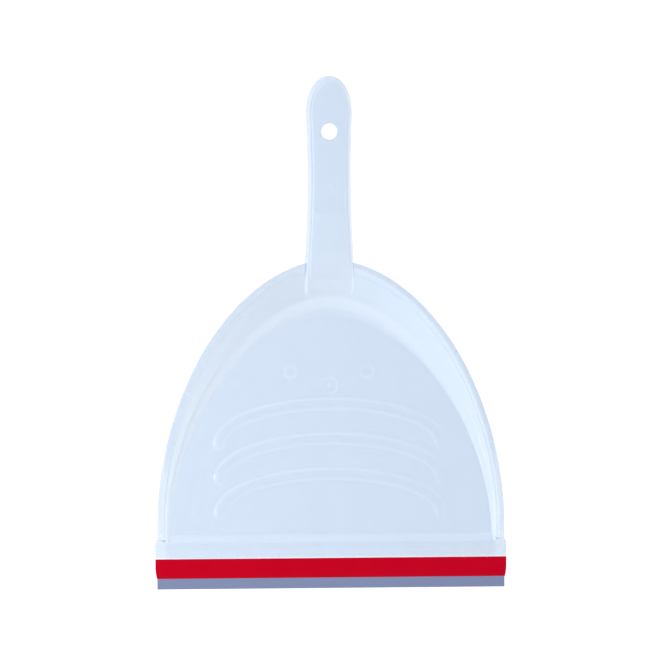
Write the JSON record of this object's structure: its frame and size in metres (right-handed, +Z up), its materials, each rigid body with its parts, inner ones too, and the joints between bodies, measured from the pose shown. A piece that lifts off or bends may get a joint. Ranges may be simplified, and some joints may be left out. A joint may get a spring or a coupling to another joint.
{
  "type": "dustpan",
  "caption": "Clear plastic dustpan with a raised round-backed wall, ribbed floor, hollow hanging handle, rigid lip strip and soft lip blade.",
  "frame": {"origin": "middle of the box around the whole part, at the surface it lies on", "axes": "+Y from the lip to the handle's tip, +X to the right when looking down into the pan with the handle away from you, +Z up out of the pan"},
  "size_m": [0.2256, 0.3278, 0.0712],
  "materials": {
    "pan_clear": "glossy moulded plastic, clear with a pale blue tint",
    "strip_red": "satin red extruded plastic",
    "blade_grey": "soft matte blue-grey rubber"
  },
  "bodies": {
    "root": {"pan": "pan_clear", "lip_strip": "strip_red", "lip_blade": "blade_grey"}
  },
  "joints": []
}
